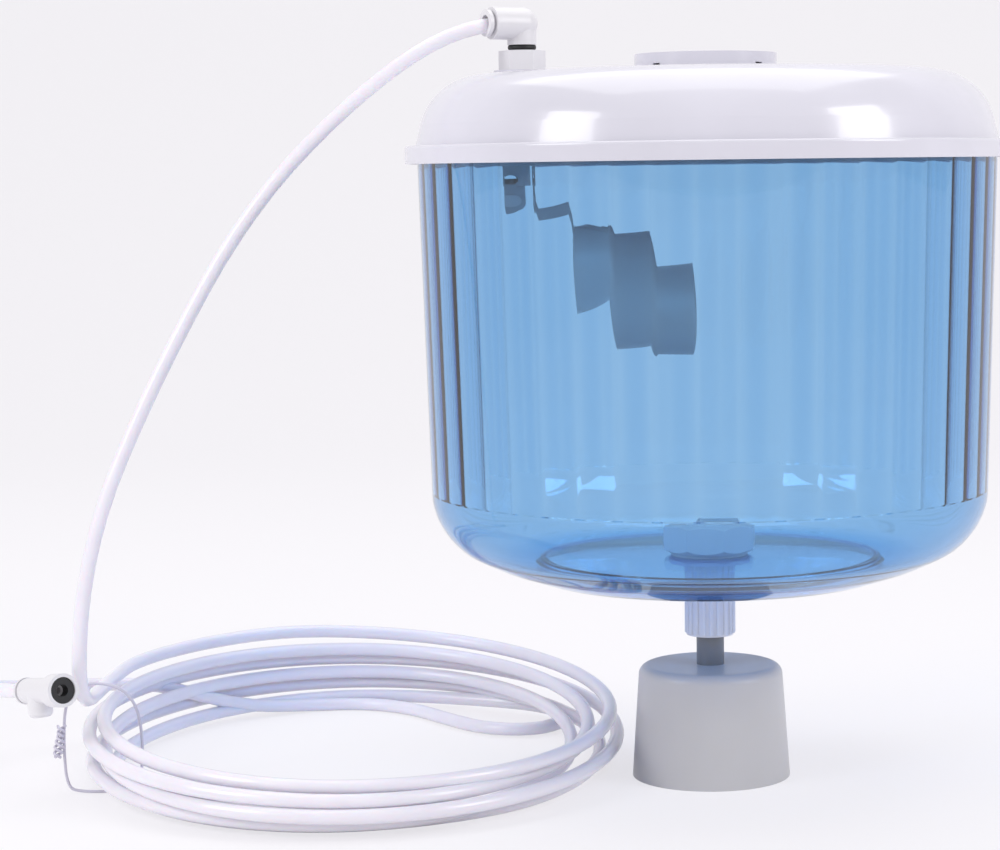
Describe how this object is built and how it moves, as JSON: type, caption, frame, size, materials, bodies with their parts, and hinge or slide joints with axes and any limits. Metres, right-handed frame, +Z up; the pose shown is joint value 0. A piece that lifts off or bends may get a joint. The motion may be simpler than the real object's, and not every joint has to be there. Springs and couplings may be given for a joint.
{
  "type": "water dispenser bottle",
  "caption": "See-through blue fluted water tank with a domed lid, an inlet float valve and tube coil, and a ribbed outlet neck whose valve is worked by the float cup that it stands on.",
  "frame": {"origin": "centre of the base of the lower float, on which the bottle stands", "axes": "+Z up along the tank's axis; -Y towards the viewer; -X towards the inlet elbow and the tube"},
  "size_m": [0.4694, 0.2978, 0.3408],
  "materials": {
    "float_grey": "satin",
    "stem_grey": "matt",
    "black_rubber": "matt",
    "white_plastic": "satin",
    "clear_silicone": "matt",
    "blue_clear": "glossy, see-through",
    "lid_white": "glossy",
    "filter_white": "felted",
    "steel": "satin",
    "tube_white": "satin, translucent"
  },
  "bodies": {
    "bottle": {"outlet_neck": "white_plastic", "outlet_nut": "white_plastic", "outer_washer": "clear_silicone", "inner_washer": "clear_silicone", "tank": "blue_clear", "lid": "lid_white", "vent_cap": "lid_white", "vent_filter": "filter_white", "inlet_nut": "white_plastic", "inlet_washer": "clear_silicone", "valve_body": "white_plastic", "lever_pin": "steel", "inlet_elbow": "white_plastic", "elbow_ring": "black_rubber", "elbow_tube_seal": "black_rubber", "tap_adapter": "white_plastic", "adapter_seal": "black_rubber", "adapter_tube_seal": "black_rubber", "supply_tube": "tube_white", "tap_tube": "tube_white", "tube_coil": "tube_white", "coil_tie": "black_rubber"},
    "outlet_valve": {"outlet_float": "float_grey", "outlet_float_disc": "float_grey", "outlet_stem": "stem_grey", "outlet_seal": "black_rubber", "stem_retainer": "stem_grey"},
    "float_arm": {"float_lever": "white_plastic", "inlet_float": "float_grey"},
    "plunger": {"valve_plunger": "white_plastic", "plunger_seal": "black_rubber"},
    "elbow_collet": {"elbow_collet": "white_plastic"},
    "adapter_collet": {"adapter_collet": "white_plastic"}
  },
  "joints": [
    {"name": "outlet_slide", "type": "slide", "parent": "bottle", "child": "outlet_valve", "axis": [0, 0, 1], "range_m": [-0.01, 0]},
    {"name": "float_hinge", "type": "hinge", "parent": "bottle", "child": "float_arm", "pos_m": [-0.08, 0, 0.2572], "axis": [0, -1, 0], "range_deg": [0, 42]},
    {"name": "plunger_slide", "type": "slide", "parent": "bottle", "child": "plunger", "axis": [0, 0, 1], "range_m": [0, 0.00147]},
    {"name": "elbow_collet_slide", "type": "slide", "parent": "bottle", "child": "elbow_collet", "axis": [0.866, 0.5, 0], "range_m": [0, 0.0012]},
    {"name": "adapter_collet_slide", "type": "slide", "parent": "bottle", "child": "adapter_collet", "axis": [0.6081, -0.7783, 0.1564], "range_m": [0, 0.0012]}
  ],
  "couplings": [
    {"joint": "plunger_slide", "follows": "float_hinge", "m_per_rad": 0.0020044}
  ]
}
